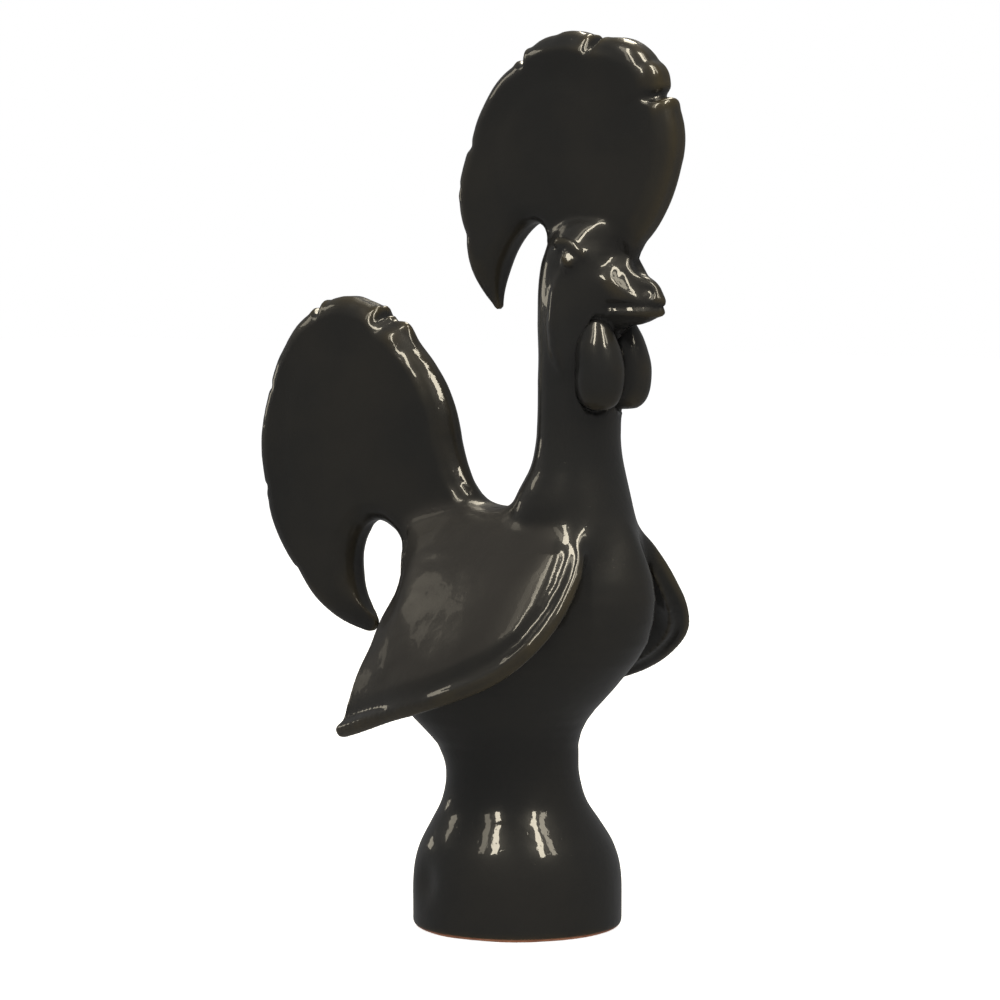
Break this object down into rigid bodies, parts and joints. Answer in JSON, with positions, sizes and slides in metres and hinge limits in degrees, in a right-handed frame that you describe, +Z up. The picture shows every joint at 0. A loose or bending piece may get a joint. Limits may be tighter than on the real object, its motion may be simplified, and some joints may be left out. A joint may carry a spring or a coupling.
{
  "type": "rooster of barcelos",
  "caption": "Standing ceramic rooster ornament on a bell-shaped hollow foot, with a scalloped comb and tail, flared wings, wattles and a black glaze.",
  "frame": {"origin": "centre of the pedestal's foot, on the surface that it stands on", "axes": "+Z up, +X the way the rooster faces, +Y towards its left wing"},
  "size_m": [0.1451, 0.091, 0.2461],
  "materials": {
    "black_glaze": "gloss"
  },
  "bodies": {
    "root": {"pedestal": "black_glaze", "torso": "black_glaze", "neck": "black_glaze", "head": "black_glaze", "comb": "black_glaze", "tail": "black_glaze", "right_wing": "black_glaze", "left_wing": "black_glaze", "upper_beak": "black_glaze", "lower_beak": "black_glaze", "right_wattle": "black_glaze", "left_wattle": "black_glaze", "right_eye": "black_glaze", "left_eye": "black_glaze", "right_brow": "black_glaze", "left_brow": "black_glaze", "right_earlobe": "black_glaze", "left_earlobe": "black_glaze"}
  },
  "joints": []
}
